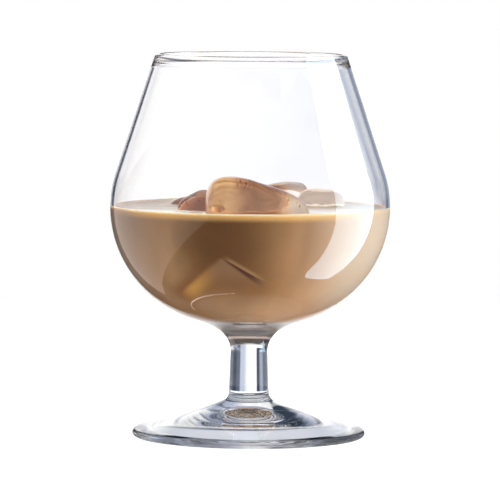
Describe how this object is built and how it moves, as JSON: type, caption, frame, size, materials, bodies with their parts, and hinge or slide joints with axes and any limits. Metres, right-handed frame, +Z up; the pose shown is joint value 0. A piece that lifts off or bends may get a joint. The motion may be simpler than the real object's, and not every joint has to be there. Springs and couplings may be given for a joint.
{
  "type": "cognac glass",
  "caption": "Stemmed cognac glass with a round belly, straight tapering wall and beaded rim on a short stem and swept foot, holding cream liqueur and melting ice.",
  "frame": {"origin": "on the table, at the middle of the foot", "axes": "+Z up along the glass's axis; the picture looks along +Y, with +X to its right"},
  "size_m": [0.08, 0.08, 0.109],
  "materials": {
    "clear_glass": "polished",
    "cream_liqueur": "gloss",
    "ice": "polished"
  },
  "bodies": {
    "glass": {"bowl": "clear_glass", "stem": "clear_glass", "foot": "clear_glass"},
    "drink": {"liqueur": "cream_liqueur", "ice_front": "ice", "ice_left": "ice", "ice_rear_left": "ice", "ice_rear_middle": "ice", "ice_rear_right": "ice"}
  },
  "joints": [
    {"name": "drink_swirl", "type": "hinge", "parent": "glass", "child": "drink", "pos_m": [0, 0, 0.06595], "axis": [0, 0, 1], "continuous": true}
  ]
}
